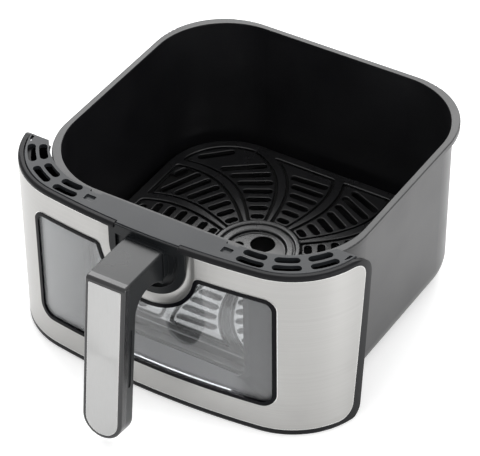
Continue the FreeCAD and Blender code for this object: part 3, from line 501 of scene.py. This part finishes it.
def stadium(centre, lean, low, high, radius, a):
    """Slot with round ends between two places along its lean."""
    points = []
    for place, turn in ((high - radius, 0.0), (low + radius, math.pi)):
        for i in range(9):
            swing = a + turn + math.pi * i / 8.0
            points.append(centre + lean * place + Vector((math.cos(swing), math.sin(swing))) * radius)
    return points


def clear_of_legs(points):
    """True where a slot doesn't run into the root of a leg."""
    return all((p - Vector(leg)).length > LEG_ROOT_R + 0.7 for p in points for leg in LEG_PLACES)


def slab(outlines, low, high, bevel):
    """Mesh of a flat shape with holes, its upper and lower edges rounded by the bevel."""
    curve = bpy.data.curves.new("slab", "CURVE")
    curve.dimensions = "2D"
    curve.fill_mode = "BOTH"
    curve.extrude = (high - low) / 2.0 * MM - bevel * MM
    curve.bevel_depth = bevel * MM
    curve.bevel_resolution = 2
    curve.offset = -bevel * MM
    for points in outlines:
        spline = curve.splines.new("POLY")
        spline.points.add(len(points) - 1)
        for knot, p in zip(spline.points, points):
            knot.co = (p.x * MM, p.y * MM, 0.0, 1.0)
        spline.use_cyclic_u = True
    holder = bpy.data.objects.new("slab", curve)
    bpy.context.scene.collection.objects.link(holder)
    mesh = bpy.data.meshes.new_from_object(holder)
    bpy.data.objects.remove(holder)
    bpy.data.curves.remove(curve)
    mesh.transform(Matrix.Translation((0.0, 0.0, (low + high) / 2.0 * MM)))
    return mesh


def turned(profile, centre, steps=96):
    """Mesh of a closed profile of (radius, height) points turned round an upright axis."""
    mesh = bpy.data.meshes.new("turned")
    verts = []
    faces = []
    count = len(profile)
    for i in range(steps):
        a = 2.0 * math.pi * i / steps
        for radius, height in profile:
            verts.append(((centre[0] + radius * math.cos(a)) * MM,
                          (centre[1] + radius * math.sin(a)) * MM, height * MM))
        for j in range(count):
            k = (j + 1) % count
            n = (i + 1) % steps
            faces.append((i * count + j, n * count + j, n * count + k, i * count + k))
    mesh.from_pydata(verts, [], faces)
    return mesh


def arc(cx, cz, radius, start, end, steps=5):
    """Profile points on an arc, in degrees."""
    return [(cx + radius * math.cos(math.radians(start + (end - start) * i / steps)),
             cz + radius * math.sin(math.radians(start + (end - start) * i / steps)))
            for i in range(steps + 1)]


def joined(name, meshes):
    """One piece made of several meshes, its curved faces shaded smooth and its level ones flat."""
    whole = bmesh.new()
    for mesh in meshes:
        whole.from_mesh(mesh)
        bpy.data.meshes.remove(mesh)
    bmesh.ops.recalc_face_normals(whole, faces=whole.faces)
    out = bpy.data.meshes.new(name)
    whole.to_mesh(out)
    whole.free()
    out.shade_smooth()
    out.set_sharp_from_angle(angle=math.radians(38.0))
    for face in out.polygons:
        face.use_smooth = abs(face.normal.z) < 0.999
    piece = bpy.data.objects.new(name, out)
    bpy.context.scene.collection.objects.link(piece)
    return piece


def hub_profile():
    """Section of the hub's ring: bead outside, groove, flat, and the rounded drop into the dish."""
    bead = arc(32.0, 31.6, 1.2, 0.0, 90.0) + arc(30.2, 31.6, 1.2, 90.0, 180.0)
    groove = [(29.0, 31.0), (28.8, 30.8), (27.9, 30.8), (27.7, 31.0)]
    flat = arc(27.1, 31.4, 0.6, 0.0, 90.0) + arc(23.8, 30.6, 1.4, 90.0, 180.0)
    dish = arc(21.4, 30.1, 1.0, 0.0, -90.0)
    under = [(20.6, DISH_FLOOR), (20.6, CUP_UNDER), (CUP_R, CUP_UNDER), (CUP_R, SHEET_UNDER),
             (HUB_R + 0.4, SHEET_UNDER)]
    return bead + groove + flat + dish + under


def leg_profile():
    """Section of a leg and its wider root."""
    root = SHEET_UNDER - 1.0
    return [(0.05, LEG_END), (LEG_R - 0.4, LEG_END), (LEG_R, LEG_END + 0.4), (LEG_R, root - 1.0),
            (LEG_R + 0.6, root), (LEG_ROOT_R, root), (LEG_ROOT_R, SHEET_UNDER + 0.1),
            (0.05, SHEET_UNDER + 0.1)]


def plate_sheet(slots):
    """Thin sheet that shows as the grooves' floor, in the second material, which is darker as painted
    shade.
    """
    cup_hole = circle((0.0, HUB_Y), CUP_R - 0.5, 96)
    sheet = slab([rounded_box(0.6), cup_hole] + slots, SHEET_UNDER, GROOVE_FLOOR, SHEET_BEVEL)
    for face in sheet.polygons:
        face.material_index = 1
    return sheet


def plate_ribs(starts):
    """Ribs and border in one, with a pocket for every sector."""
    hub_hole = circle((0.0, HUB_Y), HUB_R - 0.6, 96)
    pockets = [sector_outline(start, -RIB_TRIM) for start in starts]
    return slab([rounded_box(0.0), hub_hole] + pockets, GROOVE_FLOOR - SINK, PLATE_TOP, RIB_BEVEL)


def plate_pads(starts, slots):
    """Slotted pads in the sectors."""
    pads = [sector_outline(start, GROOVE_EDGE) for start in starts]
    return slab(pads + slots, GROOVE_FLOOR - SINK, PAD_TOP, PAD_BEVEL)


def plate_dish():
    """Floor of the hub's dish, with the finger hole and the pin hole."""
    finger = circle(FINGER_HOLE, FINGER_HOLE_R)
    pin = circle(PIN_HOLE, PIN_HOLE_R, 32)
    return slab([circle((0.0, HUB_Y), DISH_R, 96), finger, pin], CUP_UNDER, DISH_FLOOR, DISH_BEVEL)


def make_crisper_plate():
    starts = [FIRST_RIB + k * 360.0 / SECTORS for k in range(SECTORS)]
    slots = slot_outlines()
    meshes = [plate_sheet(slots), plate_ribs(starts), plate_pads(starts, slots)]
    skirt = [rounded_box(0.0), rounded_box(SKIRT_T)]
    meshes.append(slab(skirt, SKIRT_FOOT, PLATE_TOP - 0.9, SKIRT_BEVEL))
    meshes.append(plate_dish())
    meshes.append(turned(hub_profile(), (0.0, HUB_Y), 128))
    meshes += [turned(leg_profile(), place, 32) for place in LEG_PLACES]
    plate = joined("crisper_plate_surface", meshes)
    plate.data.materials.append(
        coated("plate_coating", (0.005, 0.005, 0.006), (0.009, 0.009, 0.010), 0.27, 0.85))
    # painted shade: the grooves' floor gets a darker colour than the plate
    plate.data.materials.append(
        coated("groove_painted_shade", (0.002, 0.002, 0.002), (0.003, 0.003, 0.003), 0.8, 0.3))
    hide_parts("crisper_plate")
    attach(plate, "crisper")


# ---- bright trim along the foot of the window, in millimetres ----

BOW_Y = -146.4             # middle of the panel's face, and the radius of its bow
BOW_RADIUS = 600.0
SILL_HALF_X = 62.0
SILL_FRONT = 5.4           # the trim lies between these two depths behind the face
SILL_BACK = 7.0
SILL_LOW = 25.1
SILL_HIGH = 25.9
SILL_STEPS = 24


def make_sill_trim():
    """Strip that follows the panel's bow: out along its front edge and back along its rear edge."""
    outline = []
    for depth, order in ((SILL_FRONT, 1), (SILL_BACK, -1)):
        radius = BOW_RADIUS - depth
        for i in range(SILL_STEPS + 1):
            x = order * SILL_HALF_X * (2.0 * i / SILL_STEPS - 1.0)
            outline.append(Vector((x, BOW_Y + BOW_RADIUS - math.sqrt(radius ** 2 - x ** 2))))
    trim = joined("window_sill_trim", [slab([outline], SILL_LOW, SILL_HIGH, 0.3)])
    trim.data.materials.append(plated("sill_metal", (0.30, 0.30, 0.31), (0.38, 0.38, 0.39), 0.30))
    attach(trim, "drawer")


# ---- floor and light, in metres ----

FLOOR_HALF = 3.0
FLOOR_GLOW = 0.3
LIT_POINT = Vector((0.0, -0.02, 0.06))     # the softboxes face this point


def make_floor():
    mesh = bpy.data.meshes.new("floor")
    corners = [(-FLOOR_HALF, -FLOOR_HALF, 0.0), (FLOOR_HALF, -FLOOR_HALF, 0.0),
               (FLOOR_HALF, FLOOR_HALF, 0.0), (-FLOOR_HALF, FLOOR_HALF, 0.0)]
    mesh.from_pydata(corners, [], [(0, 1, 2, 3)])
    floor = bpy.data.objects.new("floor", mesh)
    bpy.context.scene.collection.objects.link(floor)
    paper = Look("floor_paper", Roughness=0.9, Specular_IOR_Level=0.2,
                 Emission_Color=(1.0, 1.0, 1.0, 1.0), Emission_Strength=FLOOR_GLOW)
    paper.color(paper.blend(paper.noise(3.0), (0.93, 0.93, 0.93), (0.96, 0.96, 0.96)))
    mesh.materials.append(paper.material)


def make_world(strength):
    world = bpy.data.worlds.new("studio")
    bpy.context.scene.world = world
    world.use_nodes = True
    sky = world.node_tree.nodes["Background"]
    sky.inputs["Color"].default_value = (1.0, 1.0, 1.0, 1.0)
    sky.inputs["Strength"].default_value = strength


def softbox(name, turn, climb, distance, size, power):
    """Area light that faces the object from a compass turn (0 is the front) and a height angle."""
    turn, climb = math.radians(turn), math.radians(climb)
    away = Vector((math.sin(turn) * math.cos(climb), -math.cos(turn) * math.cos(climb), math.sin(climb)))
    data = bpy.data.lights.new(name, "AREA")
    data.shape = "RECTANGLE"
    data.size, data.size_y = size
    data.energy = power
    lamp = bpy.data.objects.new(name, data)
    bpy.context.scene.collection.objects.link(lamp)
    lamp.location = LIT_POINT + away * distance
    lamp.rotation_mode = "QUATERNION"
    lamp.rotation_quaternion = (-away).to_track_quat("-Z", "Y")


make_camera()
finish_nodes()
make_crisper_plate()
make_sill_trim()
make_floor()
make_world(1.0)
softbox("back_box", 212.0, 38.0, 1.5, (1.6, 0.7), 18.0)
softbox("side_box", 82.0, 12.0, 1.3, (0.45, 1.3), 7.0)
bpy.context.scene.view_settings.view_transform = "Standard"
